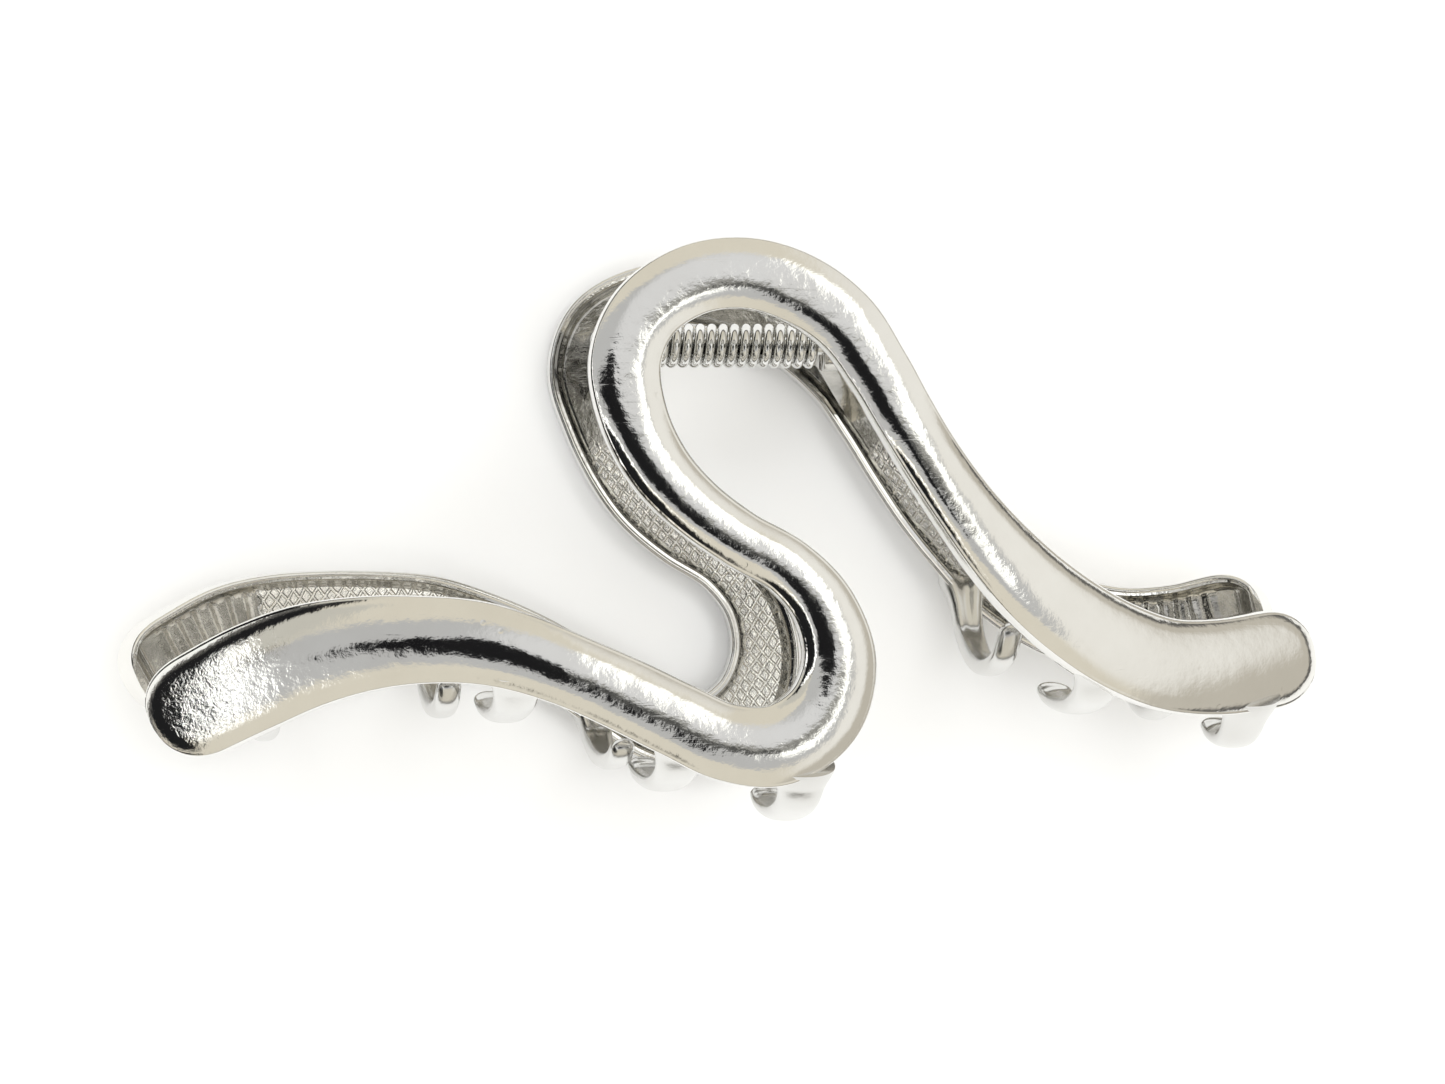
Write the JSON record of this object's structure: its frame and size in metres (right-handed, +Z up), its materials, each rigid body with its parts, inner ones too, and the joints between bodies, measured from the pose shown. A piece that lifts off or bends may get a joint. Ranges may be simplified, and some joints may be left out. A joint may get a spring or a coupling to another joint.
{
  "type": "hair claw clip",
  "caption": "Large plated-metal hair clip with wave-shaped jaws, interlocking hooked teeth and a coil torsion spring on its hinge pin.",
  "frame": {"origin": "middle of the base of the bounding box, where the clip lies on its rear half", "axes": "+X along the hinge pin and the clip's length, +Y from the teeth to the finger hump, +Z up, from the rear half to the front half"},
  "size_m": [0.1095, 0.0527, 0.036],
  "materials": {
    "jaw_plating": "bright nickel plate on a zinc casting, with fine casting texture, small pits and scratches",
    "pin_steel": "plain drawn steel with peened ends",
    "spring_wire": "bright nickel-plated spring wire"
  },
  "bodies": {
    "rear_half": {"rear_jaw": "jaw_plating", "hinge_pin": "pin_steel", "torsion_spring": "spring_wire"},
    "front_half": {"front_jaw": "jaw_plating"}
  },
  "joints": [
    {"name": "jaw_hinge", "type": "hinge", "parent": "rear_half", "child": "front_half", "pos_m": [0, 0.0171, 0.018], "axis": [-1, 0, 0], "range_deg": [0, 55], "stiffness_Nm_per_rad": 0.08, "springref_deg": -20.05, "deforming": ["torsion_spring"]}
  ]
}
